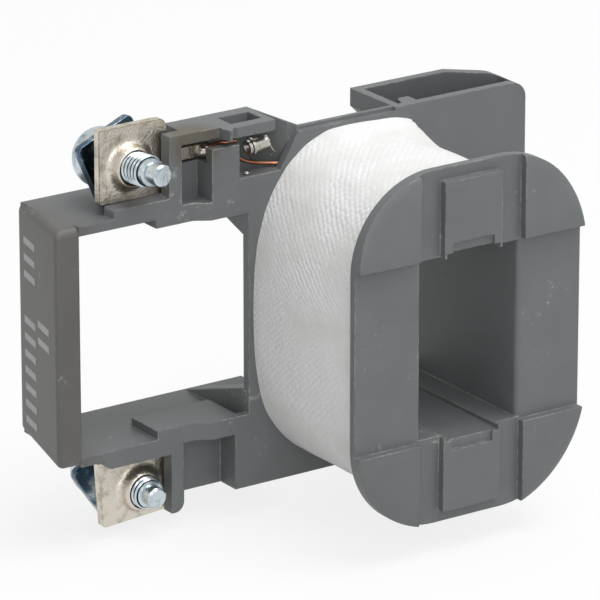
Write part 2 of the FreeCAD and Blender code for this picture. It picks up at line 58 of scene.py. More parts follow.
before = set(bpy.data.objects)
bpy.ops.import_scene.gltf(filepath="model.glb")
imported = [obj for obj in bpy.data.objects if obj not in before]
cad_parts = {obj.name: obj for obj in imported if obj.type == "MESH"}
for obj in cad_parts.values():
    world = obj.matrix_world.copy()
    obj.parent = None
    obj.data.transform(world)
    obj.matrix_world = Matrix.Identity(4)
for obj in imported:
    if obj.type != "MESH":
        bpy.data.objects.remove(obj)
cad_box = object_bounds()

MM = 0.001
MERGE_DISTANCE = 0.002 * MM
# Where the tape's last layer ends, in degrees round the winding from +X, and how far
# that end slants from the front flange to the rear one. The winding sinks there too.
LAP_DEGREES = 56
LAP_SLANT = 12


def linear(hex_colour):
    """An sRGB hex colour as linear red, green, blue and alpha."""
    values = [int(hex_colour[i:i + 2], 16) / 255 for i in (1, 3, 5)]
    return [v / 12.92 if v <= 0.04045 else ((v + 0.055) / 1.055) ** 2.4 for v in values] + [1.0]


def colour(name, hex_colour, words):
    return FloatVectorProperty(name=name, description=words, default=linear(hex_colour), size=4,
                               min=0, max=1, subtype="COLOR")


def length(name, millimetres, words):
    return FloatProperty(name=name, description=words, default=millimetres * MM,
                         subtype="DISTANCE", unit="LENGTH", precision=5)


def angle(name, degrees, words):
    return FloatProperty(name=name, description=words, default=math.radians(degrees),
                         subtype="ANGLE", unit="ROTATION")


class CoilColours(bpy.types.PropertyGroup):
    moulding: colour("Moulding", "#6c6f70", "Grey of the moulded bobbin and frame")
    # Handled moulding: painted shade, a darker and warmer plastic painted on the far end.
    moulding_far_shade: colour("Handled moulding", "#605f5d", "Warmer, darker plastic at the far end")
    # Worn moulding: pale colour along the edges, partly real wear and partly painted highlight.
    moulding_worn_and_highlight: colour("Worn moulding", "#b0b1ad", "Scuffed plastic along the edges")
    flux: colour("Flux stain", "#5b5442", "Brown flux residue near the solder")
    tape: colour("Tape", "#f4f4f4", "White woven tape")
    tape_shade: colour("Tape shade", "#e4e3e0", "Tape where glue shows through")
    nickel: colour("Nickel", "#d6cfc3", "Terminal plates")
    nickel_stain: colour("Nickel stain", "#8f8470", "Tarnish on the terminal plates")
    zinc: colour("Zinc", "#c9d3d8", "Screws and spring washers")
    zinc_dark: colour("Dark zinc", "#5f7485", "Dull patches on screws and spring washers")
    # Thread roots: painted shade, a dark colour painted in the roots of the threads.
    zinc_root_shade: colour("Thread roots", "#3c4850", "Dark grease in the roots of the threads")
    washer: colour("Washers", "#4a5f70", "Blue-black zinc on the clamp washers")
    copper: colour("Copper", "#b07a62", "Bare magnet wire")
    enamel: colour("Enamel", "#8f4a2c", "Enamelled turns under the tape")
    tin: colour("Tin", "#cfccc4", "Solder, tinned ferrule and clippings")
    print_grey: colour("Print", "#b4b5b3", "Pale printed bars on the end of the frame")
    floor: colour("Floor", "#d2d2d2", "Studio floor")


class CoilSizes(bpy.types.PropertyGroup):
    edge_round: length("Edge round", 0.2, "Round on the moulding's edges")
    plate_round: length("Plate round", 0.12, "Round on the stamped plates' edges")
    clamp_round: length("Clamp washer round", 0.192, "Round on the clamp washers' edges")
    winding_half_width: length("Winding half width", 16.7, "Half the taped winding's width")
    tube_half_width: length("Tube half width", 8.85, "Half the width of the tube's outside")
    tube_half_height: length("Tube half height", 14.1, "Half the height of the tube's outside")
    winding_half_height: length("Winding half height", 22.1, "Half the taped winding's height")
    tape_thickness: length("Tape thickness", 0.55, "All layers of the tape together")
    squareness: FloatProperty(name="Squareness", default=2.6,
                              description="How square the winding's round corners are")
    tape_slump: length("Tape slump", 1.15, "How far the winding sinks at its upper right")
    lap_step: length("Lap step", 0.4, "Step down past the end of the tape's last layer")
    lap_lift: length("Lap lift", 1.6, "How far the tape's end stands up at the rear flange")
    winding_inset: length("Winding inset", 0.62, "The wire's depth under the tape's outline")
    tape_sag: length("Tape ripple", 0.16, "Height of the tape's soft folds")
    front_draw: length("Front draw", 0.12, "How far the tape draws in at the front flange")
    thread_pitch: length("Thread pitch", 0.7, "Pitch of the M4 thread")
    thread_radius: length("Thread radius", 2.12, "Outer radius of the thread")
    dog_radius: length("Dog radius", 1.4, "Radius of the screw's plain point")
    screw_length: length("Screw length", 12.5, "Screw from its tip to under the head")
    head_radius: length("Head radius", 3.9, "Radius of the pan head")
    head_height: length("Head height", 3.9, "Height of the pan head")
    upper_tilt: angle("Upper screw tilt", -4.6, "How far the upper screw dips")
    upper_lean: angle("Upper screw lean", 1.6, "How far the upper screw leans sideways")
    collar_height: length("Collar height", 1.7, "Drawn collar on the terminal plates")
    plate_thickness: length("Plate thickness", 1.2, "Sheet of the terminal plates")
    wire_radius: length("Wire radius", 0.25, "Radius of the magnet wire")
    bar_length: length("Bar length", 4.2, "Printed bar, across the frame's end")
    bar_width: length("Bar width", 0.95, "Printed bar, along the frame's end")
    bar_pitch: length("Bar pitch", 2.25, "From one printed bar to the next")


def sizes():
    return bpy.context.scene.coil_sizes


def colours():
    return bpy.context.scene.coil_colours


def point(x, y, z):
    """A place in the frame, given in millimetres."""
    return Vector((x, y, z)) * MM


def add(tree, kind, inputs=None, **settings):
    """Adds a node, gives it its settings, and sets or links its inputs."""
    node = tree.nodes.new(kind)
    for name, value in settings.items():
        setattr(node, name, value)
    for name, value in (inputs or {}).items():
        if isinstance(value, bpy.types.NodeSocket):
            tree.links.new(value, node.inputs[name])
        else:
            node.inputs[name].default_value = value
    return node


def new_material(name):
    material = bpy.data.materials.new(name)
    material.use_nodes = True
    material.node_tree.nodes.clear()
    return material, material.node_tree


def finish_material(tree, shader):
    add(tree, "ShaderNodeOutputMaterial", {"Surface": shader.outputs[0]})


def new_piece(name, mesh, *materials, replaces=(), slot=None):
    """Links a finished mesh as a piece that rides on the coil's one body."""
    piece = bpy.data.objects.new(name, mesh)
    bpy.context.scene.collection.objects.link(piece)
    while len(mesh.materials) < len(materials):
        mesh.materials.append(None)
    for index, material in enumerate(materials):
        mesh.materials[index] = material
    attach(piece, "root")
    if replaces:
        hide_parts(*replaces)
    return piece


def mesh_from(name, verts, faces, smooth_angle=35):
    """A mesh with outward normals, smooth except at its sharp edges."""
    mesh = bpy.data.meshes.new(name)
    mesh.from_pydata([tuple(v) for v in verts], [], faces)
    work = bmesh.new()
    work.from_mesh(mesh)
    bmesh.ops.remove_doubles(work, verts=work.verts, dist=0.001 * MM)
    bmesh.ops.recalc_face_normals(work, faces=work.faces)
    work.to_mesh(mesh)
    work.free()
    mesh.shade_smooth()
    mesh.set_sharp_from_angle(angle=math.radians(smooth_angle))
    return mesh


def evaluated(name, source):
    """The source object with its modifiers worked into a plain mesh; the source is removed."""
    bpy.context.view_layer.update()
    graph = bpy.context.evaluated_depsgraph_get()
    mesh = bpy.data.meshes.new_from_object(source.evaluated_get(graph))
    mesh.name = name
    bpy.data.objects.remove(source)
    return mesh


def softened(name, node, width, edge_slot=0):
    """A merged copy of a CAD node with its sharp edges rounded; the rounds get edge_slot."""
    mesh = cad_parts[node].data.copy()
    for layer in ("custom_normal", "sharp_edge", "sharp_face"):
        found = mesh.attributes.get(layer)
        if found:
            mesh.attributes.remove(found)
    work = bmesh.new()
    work.from_mesh(mesh)
    bmesh.ops.remove_doubles(work, verts=work.verts, dist=MERGE_DISTANCE)
    bmesh.ops.dissolve_limit(work, angle_limit=math.radians(1.0), verts=work.verts,
                             edges=work.edges)
    work.to_mesh(mesh)
    work.free()
    mesh.materials.clear()
    for _ in range(2 if edge_slot else 1):
        mesh.materials.append(None)
    mesh.shade_smooth()
    source = bpy.data.objects.new(name + "_source", mesh)
    bpy.context.scene.collection.objects.link(source)
    bevel = source.modifiers.new("edge_round", "BEVEL")
    bevel.width = width
    bevel.segments = 2
    bevel.limit_method = "ANGLE"
    bevel.angle_limit = math.radians(38)
    bevel.harden_normals = True
    bevel.use_clamp_overlap = True
    bevel.material = edge_slot
    return evaluated(name, source)


def turned(name, profile, sides=48):
    """A closed turned mesh about +Y from a profile of radius and height."""
    verts, faces = [], []
    for radius, height in profile:
        for i in range(sides):
            turn = 2 * math.pi * i / sides
            verts.append(Vector((radius * math.cos(turn), height, radius * math.sin(turn))))
    for ring in range(len(profile) - 1):
        for i in range(sides):
            j = (i + 1) % sides
            faces.append((ring * sides + i, ring * sides + j,
                          (ring + 1) * sides + j, (ring + 1) * sides + i))
    faces.append(list(range(sides)))
    faces.append([(len(profile) - 1) * sides + i for i in range(sides)])
    return mesh_from(name, verts, faces)


def join(name, meshes, smooth_angle=35):
    """One mesh made of several."""
    work = bmesh.new()
    for mesh in meshes:
        work.from_mesh(mesh)
    joined = bpy.data.meshes.new(name)
    work.to_mesh(joined)
    work.free()
    joined.shade_smooth()
    joined.set_sharp_from_angle(angle=math.radians(smooth_angle))
    return joined


# Finishes


def grain(tree, coordinates, size_mm, detail=2.0):
    """Noise whose grain has the given size."""
    scale = 1 / (size_mm * MM)
    return add(tree, "ShaderNodeTexNoise", {"Vector": coordinates, "Scale": scale,
                                            "Detail": detail, "Roughness": 0.6})


def moulded_polyamide():
    """Glass-filled polyamide, moulded. Even satin grey; edges show pale scuffs, nicks and painted
    highlight.
    """
    c = colours()
    material, tree = new_material("moulded_polyamide")
    where = add(tree, "ShaderNodeTexCoord").outputs["Object"]
    cloud = grain(tree, where, 6.0, 4.0).outputs["Fac"]
    tint = add(tree, "ShaderNodeMapRange", {"Value": cloud, "From Min": 0.3, "From Max": 0.7,
                                            "To Min": 0.93, "To Max": 1.07})
    # The printed end of the frame is painted a little darker and warmer:
    # painted shade on the far end.
    far_shade_from, far_shade_to = -38 * MM, -42 * MM
    across = add(tree, "ShaderNodeSeparateXYZ", {0: where}).outputs["X"]
    far = add(tree, "ShaderNodeMapRange", {"Value": across, "From Min": far_shade_from,
                                           "From Max": far_shade_to})
    plain = add(tree, "ShaderNodeMix", {"Factor": far.outputs[0], "A": c.moulding,
                                        "B": c.moulding_far_shade}, data_type="RGBA")
    base = add(tree, "ShaderNodeMix", {"Factor": 1.0, "A": plain.outputs["Result"]},
               data_type="RGBA", blend_type="MULTIPLY")
    tree.links.new(tint.outputs[0], base.inputs["B"])
    # Brown flux residue, sprayed on the plastic around the upper solder joint.
    joint = point(-24.6, 26.3, 24.1)
    stain_core, stain_wander, stain_edge = 1.0 * MM, 3.2 * MM, 4.2 * MM
    near = add(tree, "ShaderNodeVectorMath", {0: where, 1: joint}, operation="DISTANCE")
    flux_grain = grain(tree, where, 1.4, 3.0).outputs["Fac"]
    reach = add(tree, "ShaderNodeMath", {0: flux_grain, 1: stain_wander, 2: stain_core},
                operation="MULTIPLY_ADD")
    fall = add(tree, "ShaderNodeMapRange", {"Value": near.outputs["Value"],
                                            "From Min": reach.outputs[0],
                                            "From Max": stain_edge,
                                            "To Min": 0.75, "To Max": 0.0})
    stained = add(tree, "ShaderNodeMix", {"Factor": fall.outputs[0], "B": c.flux},
                  data_type="RGBA")
    tree.links.new(base.outputs["Result"], stained.inputs["A"])
    # Pale scuffs and painted highlight: patchy along the edges, and a few pin-points of wear
    # elsewhere. The rounded normal differs from the flat one only near an edge, and it softens
    # the edge's look.
    edge_band_width = 0.3 * MM
    rounded = add(tree, "ShaderNodeBevel", {"Radius": edge_band_width}, samples=6)
    flat = add(tree, "ShaderNodeNewGeometry").outputs["True Normal"]
    along = add(tree, "ShaderNodeVectorMath", {0: rounded.outputs[0], 1: flat},
                operation="DOT_PRODUCT")
    edge = add(tree, "ShaderNodeMapRange", {"Value": along.outputs["Value"], "From Min": 0.97,
                                            "From Max": 0.86, "To Max": 0.2})
    chips = grain(tree, where, 0.8, 3.0).outputs["Fac"]
    patches = grain(tree, where, 7.0, 2.0).outputs["Fac"]
    both = add(tree, "ShaderNodeMath", {0: chips, 1: patches}, operation="MULTIPLY")
    wear_and_highlight = add(tree, "ShaderNodeMath", {0: both.outputs[0], 1: edge.outputs[0]})
    scuff_and_highlight = add(tree, "ShaderNodeMapRange", {"Value": wear_and_highlight.outputs[0], "From Min": 0.39,
                                             "From Max": 0.52, "To Max": 0.8})
    final = add(tree, "ShaderNodeMix", {"Factor": scuff_and_highlight.outputs[0], "B": c.moulding_worn_and_highlight},
                data_type="RGBA")
    tree.links.new(stained.outputs["Result"], final.inputs["A"])
    fine = grain(tree, where, 0.22, 2.0).outputs["Fac"]
    bump = add(tree, "ShaderNodeBump", {"Strength": 0.25, "Distance": 0.03 * MM, "Height": fine,
                                        "Normal": rounded.outputs[0]})
    rough = add(tree, "ShaderNodeMapRange", {"Value": cloud, "To Min": 0.42, "To Max": 0.58})
    shader = add(tree, "ShaderNodeBsdfPrincipled", {
        "Base Color": final.outputs["Result"], "Roughness": rough.outputs[0], "IOR": 1.53,
        "Normal": bump.outputs[0]})
    finish_material(tree, shader)
    return material


def woven_tape():
    """White woven glass-cloth tape: matt, with a fine dotted weave and pale glue stains."""
    c = colours()
    material, tree = new_material("woven_tape")
    where = add(tree, "ShaderNodeTexCoord").outputs["Object"]
    patches = grain(tree, where, 9.0, 3.0).outputs["Fac"]
    blend = add(tree, "ShaderNodeMapRange", {"Value": patches, "From Min": 0.42,
                                             "From Max": 0.68, "To Max": 0.8})
    base = add(tree, "ShaderNodeMix", {"Factor": blend.outputs[0], "A": c.tape,
                                       "B": c.tape_shade}, data_type="RGBA")
    # The weave's knots, laid out along the wrap by the tape's own map, in metres.
    knot_pitch = 0.78 * MM
    wrap = add(tree, "ShaderNodeUVMap", uv_map="wrap").outputs[0]
    knots = add(tree, "ShaderNodeTexVoronoi", {"Vector": wrap, "Scale": 1 / knot_pitch,
                                               "Randomness": 0.35}, voronoi_dimensions="2D")
    shown = add(tree, "ShaderNodeMapRange", {"Value": patches, "From Min": 0.36,
                                             "From Max": 0.6, "To Min": 1.0, "To Max": 0.25})
    height = add(tree, "ShaderNodeMath", {0: knots.outputs["Distance"], 1: shown.outputs[0]},
                 operation="MULTIPLY")
    weave = add(tree, "ShaderNodeBump", {"Strength": 0.8, "Distance": 0.25 * MM,
                                         "Height": height.outputs[0]}, invert=True)
    creases = grain(tree, where, 4.0, 2.0).outputs["Fac"]
    soft = add(tree, "ShaderNodeBump", {"Strength": 0.4, "Distance": 0.25 * MM,
                                        "Height": creases, "Normal": weave.outputs[0]})
    shader = add(tree, "ShaderNodeBsdfPrincipled", {
        "Base Color": base.outputs["Result"], "Roughness": 0.82, "Sheen Weight": 0.1,
        "Normal": soft.outputs[0]})
    finish_material(tree, shader)
    return material


def plated(name, bright, dull, stain_mm, roughness, pits):
    """Plated sheet metal: bright, with a cloudy stain and fine pits."""
    material, tree = new_material(name)
    where = add(tree, "ShaderNodeTexCoord").outputs["Object"]
    cloud = grain(tree, where, stain_mm, 4.0).outputs["Fac"]
    mask = add(tree, "ShaderNodeMapRange", {"Value": cloud, "From Min": 0.5, "From Max": 0.72,
                                            "To Max": 0.75})
    base = add(tree, "ShaderNodeMix", {"Factor": mask.outputs[0], "A": bright, "B": dull},
               data_type="RGBA")
    rough = add(tree, "ShaderNodeMapRange", {"Value": cloud, "To Min": roughness * 0.75,
                                             "To Max": roughness * 1.35})
    pitting = grain(tree, where, 0.3, 2.0).outputs["Fac"]
    bump = add(tree, "ShaderNodeBump", {"Strength": pits, "Distance": 0.08 * MM,
                                        "Height": pitting})
    shader = add(tree, "ShaderNodeBsdfPrincipled", {
        "Base Color": base.outputs["Result"], "Metallic": 1.0, "Roughness": rough.outputs[0],
        "Normal": bump.outputs[0]})
    finish_material(tree, shader)
    return material


def enamelled_turns():
    """Enamelled magnet wire, wound: glossy brown-red turns 0.5 mm apart."""
    c = colours()
    material, tree = new_material("enamelled_turns")
    where = add(tree, "ShaderNodeTexCoord").outputs["Object"]
    # A wave texture's band is 0.31 wide at a scale of 1.
    band_width, turn_pitch = 0.31, 0.5 * MM
    rows = add(tree, "ShaderNodeTexWave", {"Vector": where, "Scale": band_width / turn_pitch,
                                           "Distortion": 0.4},
               bands_direction="Y")
    base = add(tree, "ShaderNodeMix", {"Factor": rows.outputs["Fac"], "A": c.enamel,
                                       "B": c.copper}, data_type="RGBA")
    bump = add(tree, "ShaderNodeBump", {"Strength": 0.8, "Distance": 0.2 * MM,
                                        "Height": rows.outputs["Fac"]})
    shader = add(tree, "ShaderNodeBsdfPrincipled", {
        "Base Color": base.outputs["Result"], "Metallic": 0.7, "Roughness": 0.3,
        "Normal": bump.outputs[0]})
    finish_material(tree, shader)
    return material


def printed_ink():
    """Pad-printed ink: a matt pale grey film, a little broken."""
    c = colours()
    material, tree = new_material("printed_ink")
    where = add(tree, "ShaderNodeTexCoord").outputs["Object"]
    breaks = grain(tree, where, 0.5, 3.0).outputs["Fac"]
    mask = add(tree, "ShaderNodeMapRange", {"Value": breaks, "From Min": 0.58, "From Max": 0.7,
                                            "To Max": 0.7})
    base = add(tree, "ShaderNodeMix", {"Factor": mask.outputs[0], "A": c.print_grey,
                                       "B": c.moulding}, data_type="RGBA")
    shader = add(tree, "ShaderNodeBsdfPrincipled", {"Base Color": base.outputs["Result"],
                                                    "Roughness": 0.6})
    finish_material(tree, shader)
    return material


# Pieces


class COIL_OT_moulding(bpy.types.Operator):
    """Rounds the edges of the grey moulding and gives it its satin finish"""
    bl_idname = "coil.moulding"
    bl_label = "Moulding"

    def execute(self, context):
        mesh = softened("moulding", "bobbin_frame", sizes().edge_round)
        new_piece("moulding", mesh, moulded_polyamide(), replaces=("bobbin_frame",),
                  slot="grey_moulding")
        # The small lug in the cup's left corner; its left side slants back to the nose.
        low, high, nose = point(7.4, 26.0, 20.5), point(9.9, 28.4, 23.3), 8.2 * MM
        outline = [(low.x, low.y), (high.x, low.y), (high.x, high.y), (nose, high.y)]
        verts = [(x, y, z) for z in (low.z, high.z) for x, y in outline]
        sides = [(i, (i + 1) % 4, (i + 1) % 4 + 4, i + 4) for i in range(4)]
        lug = mesh_from("cup_lug", verts, [(0, 3, 2, 1), (4, 5, 6, 7)] + sides)
        new_piece("cup_lug", lug, mesh.materials[0], slot="grey_moulding")
        return {"FINISHED"}


class COIL_OT_winding(bpy.types.Operator):
    """Winds the enamelled wire that lies under the tape"""
    bl_idname = "coil.winding"
    bl_label = "Winding"

    def execute(self, context):
        low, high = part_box("copper_winding")
        half_width, half_height = sizes().tube_half_width, sizes().tube_half_height

        def bore(turn, along, y):
            reach = max(abs(math.cos(turn)) / half_width, abs(math.sin(turn)) / half_height)
            return Vector((math.cos(turn) / reach, y, math.sin(turn) / reach))

        mesh = sleeve("winding", 160, 2, (low.y, high.y),
                      lambda turn, along, y: wound_place(turn, sizes().winding_inset, y), bore)
        new_piece("winding", mesh, enamelled_turns(), replaces=("copper_winding",),
                  slot="winding_copper")
        return {"FINISHED"}


def wound_place(turn, inset, y):
    """A place on the slumped, bulging outline of the wound body."""
    s = sizes()
    power = 2 / s.squareness
    inset += s.tape_slump * max(0, math.cos(turn - math.radians(LAP_DEGREES))) ** 6
    across = math.copysign(abs(math.cos(turn)) ** power, math.cos(turn))
    up = math.copysign(abs(math.sin(turn)) ** power, math.sin(turn))
    return Vector(((s.winding_half_width - inset) * across, y,
                   (s.winding_half_height - inset) * up))


def sleeve(name, around, rows, span, outer, inner, smooth_angle=50):
    """A closed sleeve between two y values, from an outer and an inner place function."""
    verts, faces = [], []
    for place in (outer, inner):
        for row in range(rows + 1):
            along = row / rows
            y = span[0] + (span[1] - span[0]) * along
            verts.extend(place(2 * math.pi * i / around, along, y) for i in range(around))
    sheet, last = (rows + 1) * around, rows * around
    for i in range(around):
        j = (i + 1) % around
        for row in range(rows):
            a, b = row * around, (row + 1) * around
            faces.append((a + i, a + j, b + j, b + i))
            faces.append((sheet + a + i, sheet + b + i, sheet + b + j, sheet + a + j))
        faces.append((i, sheet + i, sheet + j, j))
        faces.append((last + i, last + j, sheet + last + j, sheet + last + i))
    return mesh_from(name, verts, faces, smooth_angle)


def tape_offset(turn, along):
    """How far the tape stands off its smooth outline, from soft folds and its lapped end."""
    s = sizes()
    degrees = math.degrees(turn) % 360
    place = Vector((math.cos(turn) * 2.2, math.sin(turn) * 2.2, along * 1.3))
    fold = noise.noise(place * 1.3) + 0.5 * noise.noise(place * 3.1)
    height = s.tape_sag * fold
    # The last layer ends right of the top, at an oblique edge that steps down.
    edge = LAP_DEGREES + LAP_SLANT * along ** 3
    if degrees < edge:
        height -= s.lap_step * min(1, (edge - degrees) / 2)
    # The tape rides up on the rear flange from the top left, most of all at its end.
    ride_start, ride_fade, ride_end_width, rear_share = 132, 30, 14, 0.26
    if degrees > edge:
        ride = 0.55 + 0.45 * math.exp(-((degrees - edge) / ride_end_width) ** 2)
        ride *= min(1, max(0, (ride_start - degrees) / ride_fade))
        rear = max(0, (along - 1 + rear_share) / rear_share)
        height += s.lap_lift * ride * rear ** 1.5
    # The tape draws in a little towards the front flange.
    height -= s.front_draw * (1 - along) ** 2
    return height


class COIL_OT_tape(bpy.types.Operator):
    """Wraps the winding in white woven tape with soft folds and a lapped end"""
    bl_idname = "coil.tape"
    bl_label = "Tape"

    def execute(self, context):
        low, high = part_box("outer_tape")
        mesh = sleeve(
            "tape", 320, 44, (low.y, high.y),
            lambda turn, along, y: wound_place(
                turn, sizes().front_draw - tape_offset(turn, along), y),
            lambda turn, along, y: wound_place(turn, sizes().tape_thickness * 0.9, y))
        wrap = mesh.uv_layers.new(name="wrap")
        for loop in mesh.loops:
            place = mesh.vertices[loop.vertex_index].co
            turn = math.atan2(place.z, place.x) % (2 * math.pi)
            around = turn * sizes().winding_half_height
            # Turned by 45 degrees, so that the weave's rows run slantwise over the tape.
            diagonal = 0.707
            wrap.data[loop.index].uv = ((around + place.y) * diagonal,
                                        (around - place.y) * diagonal)
        new_piece("tape", mesh, woven_tape(), replaces=("outer_tape",), slot="cloth_tape")
        return {"FINISHED"}


def thread_tree(material, ridge_share=0.28):
    """Geometry nodes that sweep a thread's ridge, a share of the pitch, along a helix."""
    tree = bpy.data.node_groups.new("thread_ridge", "GeometryNodeTree")
    face = tree.interface
    face.new_socket("Geometry", in_out="INPUT", socket_type="NodeSocketGeometry")
    ids = {}
    for name, value in (("Pitch", sizes().thread_pitch), ("Radius", sizes().thread_radius),
                        ("Length", 0.01)):
        socket = face.new_socket(name, in_out="INPUT", socket_type="NodeSocketFloat")
        socket.default_value = value
        ids[name] = socket.identifier
    face.new_socket("Geometry", in_out="OUTPUT", socket_type="NodeSocketGeometry")
    given = add(tree, "NodeGroupInput").outputs
    turns = add(tree, "ShaderNodeMath", {0: given["Length"], 1: given["Pitch"]},
                operation="DIVIDE")
    ridge = add(tree, "ShaderNodeMath", {0: given["Pitch"], 1: ridge_share},
                operation="MULTIPLY")
    path_radius = add(tree, "ShaderNodeMath", {0: given["Radius"], 1: ridge.outputs[0]},
                      operation="SUBTRACT")
    helix = add(tree, "GeometryNodeCurveSpiral", {
        "Resolution": 26, "Rotations": turns.outputs[0], "Start Radius": path_radius.outputs[0],
        "End Radius": path_radius.outputs[0], "Height": given["Length"]})
    upright = add(tree, "GeometryNodeSetCurveNormal", {"Curve": helix.outputs[0]}, mode="Z_UP")
    profile = add(tree, "GeometryNodeCurvePrimitiveCircle", {
        "Resolution": 4, "Radius": ridge.outputs[0]}, mode="RADIUS")
    swept = add(tree, "GeometryNodeCurveToMesh", {
        "Curve": upright.outputs[0], "Profile Curve": profile.outputs[0], "Fill Caps": True})
    solid = add(tree, "GeometryNodeRealizeInstances", {"Geometry": swept.outputs[0]})
    dressed = add(tree, "GeometryNodeSetMaterial", {"Geometry": solid.outputs[0],
                                                    "Material": material})
    add(tree, "NodeGroupOutput", {"Geometry": dressed.outputs[0]})
    return tree, ids


def thread_ridge(thread_length, material):
    """The helical ridge as a mesh, along +Y from the origin."""
    tree, ids = thread_tree(material)
    source = bpy.data.objects.new("thread_source", bpy.data.meshes.new("thread_source"))
    bpy.context.scene.collection.objects.link(source)
    modifier = source.modifiers.new("thread", "NODES")
    modifier.node_group = tree
    modifier[ids["Length"]] = thread_length
    mesh = evaluated("thread_ridge", source)
    mesh.transform(Matrix.Rotation(math.radians(-90), 4, "X"))
    return mesh


def cut_slots(name, head, top):
    """The head with a driver's cross cut into its top."""
    width, depth, arm = 0.5 * MM, 1.2 * MM, sizes().head_radius
    cutter = bmesh.new()
    for half_x, half_z in ((width, arm * 1.2), (arm * 0.5, width)):
        bmesh.ops.create_cube(cutter, size=2, matrix=Matrix.Translation((0, top, 0))
                              @ Matrix.Diagonal((half_x, depth, half_z, 1)))
    cutter_mesh = bpy.data.meshes.new("cutter")
    cutter.to_mesh(cutter_mesh)
    cutter.free()
    cut_source = bpy.data.objects.new("cutter", cutter_mesh)
    head_source = bpy.data.objects.new("head_source", head)
    for source in (cut_source, head_source):
        bpy.context.scene.collection.objects.link(source)
    cross = head_source.modifiers.new("driver_slot", "BOOLEAN")
    cross.operation = "DIFFERENCE"
    cross.solver = "EXACT"
    cross.use_self = True
    cross.object = cut_source
    mesh = evaluated(name, head_source)
    bpy.data.objects.remove(cut_source)
    return mesh


def screw_mesh(name, material, dog_length, neck):
    """A pan-head screw with a plain dog point, along +Y from its tip."""
    s = sizes()
    root = s.thread_radius - s.thread_pitch * 0.5
    neck += dog_length
    bevel = 0.25 * MM
    under = s.screw_length
    core = turned(name + "_core", [
        (s.dog_radius - bevel, 0), (s.dog_radius, bevel), (s.dog_radius, dog_length),
        (root, dog_length + 0.1 * MM), (root, neck), (root, under)])
    # The core between the neck and the head takes the second material: painted shade in the
    # thread's roots.
    for face in core.polygons:
        if neck < face.center.y < under:
            face.material_index = 1
    ridge = thread_ridge(under - neck - s.thread_pitch * 0.3, material)
    ridge.transform(Matrix.Translation((0, neck, 0)))
    # The head's side stands straight for its lower share, then rounds over in steps.
    side, steps = 0.42, 8
    crown = [(s.head_radius, under), (s.head_radius, under + s.head_height * side)]
    for step in range(1, steps + 1):
        turn = math.radians(90 * step / steps)
        crown.append((s.head_radius - s.head_height * (1 - side) * (1 - math.cos(turn)),
                      under + s.head_height * (side + (1 - side) * math.sin(turn))))
    head = turned(name + "_head", [(root, under)] + crown)
    head = cut_slots(name + "_head", head, under + s.head_height)
    return join(name, [core, ridge, head])


Terminal = namedtuple("Terminal", "side x z tip dog neck tilt lean")


def terminals():
    """Both terminals in millimetres: collar's centre, screw tip's place, dog point, neck."""
    s = sizes()
    return (Terminal("upper", -32.8, 21.8, 20.7, 2.4, 0.8, s.upper_tilt, s.upper_lean),
            Terminal("lower", -31.9, -21.7, 23.8, 1.8, 0.15, 0.0, 0.0))


class COIL_OT_screws(bpy.types.Operator):
    """Cuts the threads, pan heads and dog points of both terminal screws"""
    bl_idname = "coil.screws"
    bl_label = "Terminal screws"

    def execute(self, context):
        c = colours()
        zinc = plated("blue_zinc_plate", c.zinc, c.zinc_dark, 2.5, 0.22, 0.3)
        # Painted shade: a dark zinc for the roots between the thread's crests.
        root_shade = plated("thread_root_shade", c.zinc_root_shade, c.zinc_dark, 2.5, 0.45, 0.3)
        washer = plated("dark_zinc_plate", c.washer, c.zinc, 2.0, 0.2, 0.6)
        s = sizes()
        plate_front = 28.4 * MM
        middle = plate_front + (s.plate_thickness - s.collar_height) / 2
        for terminal in terminals():
            name = terminal.side + "_terminal_screw"
            mesh = screw_mesh(name, zinc, terminal.dog * MM, terminal.neck * MM)
            mesh.transform(Matrix.Translation((0, terminal.tip * MM - middle, 0)))
            mesh.transform(Matrix.Rotation(terminal.lean, 4, "Z")
                           @ Matrix.Rotation(terminal.tilt, 4, "X"))
            mesh.transform(Matrix.Translation((terminal.x * MM, middle, terminal.z * MM)))
            new_piece(name + "_threaded", mesh, zinc, root_shade, replaces=(name,),
                      slot="zinc_screw")
        for kind, width, material in (("_spring_washer", s.plate_round, zinc),
                                      ("_clamp_washer", s.clamp_round, washer)):
            for side in ("upper", "lower"):
                node = side + kind
                mesh = softened(node + "_round", node, width)
                new_piece(node + "_round", mesh, material, replaces=(node,),
                          slot="zinc_screw")
        return {"FINISHED"}


class COIL_OT_plates(bpy.types.Operator):
    """Finishes the two nickel terminal plates"""
    bl_idname = "coil.plates"
    bl_label = "Terminal plates"

    def execute(self, context):
        c = colours()
        nickel = plated("dull_nickel_plate", c.nickel, c.nickel_stain, 1.6, 0.3, 1.0)
        edges = plated("tarnished_nickel_edges", c.nickel_stain, c.nickel, 0.7, 0.45, 1.0)
        for side in ("upper", "lower"):
            node = side + "_terminal_plate"
            mesh = softened(node + "_round", node, sizes().plate_round, edge_slot=1)
            new_piece(node + "_round", mesh, nickel, edges, replaces=(node,),
                      slot="nickel_plate")
        return {"FINISHED"}


def wire_mesh(name, places, radius):
    """A round wire on a smooth spline near the given places, with closed ends."""
    curve = bpy.data.curves.new(name, "CURVE")
    curve.dimensions = "3D"
    curve.bevel_depth = radius
    curve.bevel_resolution = 3
    curve.use_fill_caps = True
    spline = curve.splines.new("NURBS")
    spline.points.add(len(places) - 1)
    for knot, place in zip(spline.points, places):
        knot.co = (*place, 1)
    spline.order_u = 3
    spline.use_endpoint_u = True
    spline.resolution_u = 8
    source = bpy.data.objects.new(name + "_source", curve)
    bpy.context.scene.collection.objects.link(source)
    mesh = evaluated(name, source)
    mesh.shade_smooth()
    return mesh


